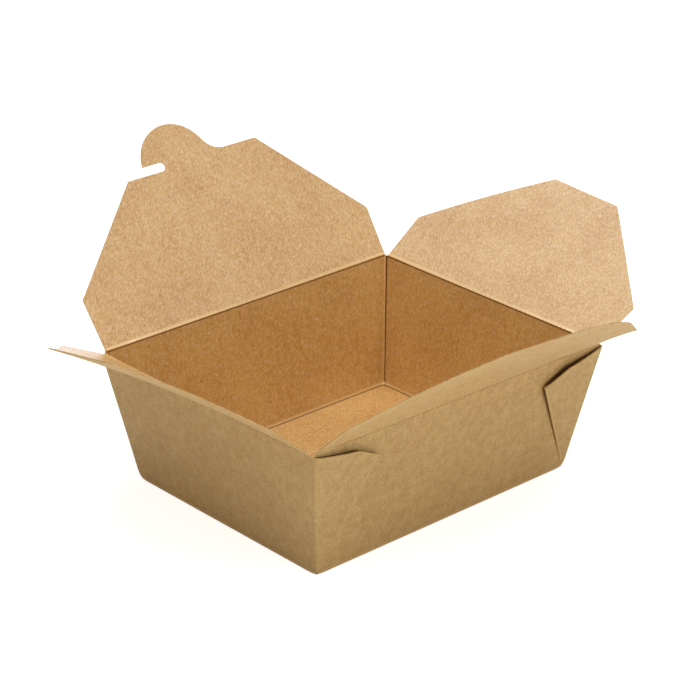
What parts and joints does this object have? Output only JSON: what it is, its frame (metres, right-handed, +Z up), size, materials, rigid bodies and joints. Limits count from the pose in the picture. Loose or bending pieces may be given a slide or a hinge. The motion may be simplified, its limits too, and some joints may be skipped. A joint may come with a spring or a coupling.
{
  "type": "takeaway box",
  "caption": "Open folding food box of kraft board: a tapered tray with folded corner webs, and interlocking hook flaps and end flaps that turn in at the rim to close it.",
  "frame": {"origin": "centre of the base's underside, on the surface the box stands on", "axes": "+Z up, X along the two hook walls (the long sides), Y across them, rear hook wall at +Y"},
  "size_m": [0.3027, 0.2673, 0.139],
  "materials": {
    "tray_board": "uncoated brown kraft board outside, smoother warm brown inside",
    "flap_board": "smooth warm brown kraft board with fine fibres"
  },
  "bodies": {
    "box": {"tray": "tray_board"},
    "rear_hook": {"hook_flap_rear": "flap_board"},
    "front_hook": {"hook_flap_front": "flap_board"},
    "left_end": {"end_flap_left": "flap_board"},
    "right_end": {"end_flap_right": "flap_board"}
  },
  "joints": [
    {"name": "rear_hook_crease", "type": "hinge", "parent": "box", "child": "rear_hook", "pos_m": [0, 0.07075, 0.0639], "axis": [1, 0, 0], "range_deg": [-89.5, 124]},
    {"name": "front_hook_crease", "type": "hinge", "parent": "box", "child": "front_hook", "pos_m": [0, -0.07075, 0.0639], "axis": [-1, 0, 0], "range_deg": [-73.5, 141.5]},
    {"name": "left_end_crease", "type": "hinge", "parent": "box", "child": "left_end", "pos_m": [-0.08717, 0, 0.0631], "axis": [0, 1, 0], "range_deg": [-68, 148.2]},
    {"name": "right_end_crease", "type": "hinge", "parent": "box", "child": "right_end", "pos_m": [0.08717, 0, 0.0631], "axis": [0, -1, 0], "range_deg": [-64.5, 151.7]}
  ]
}
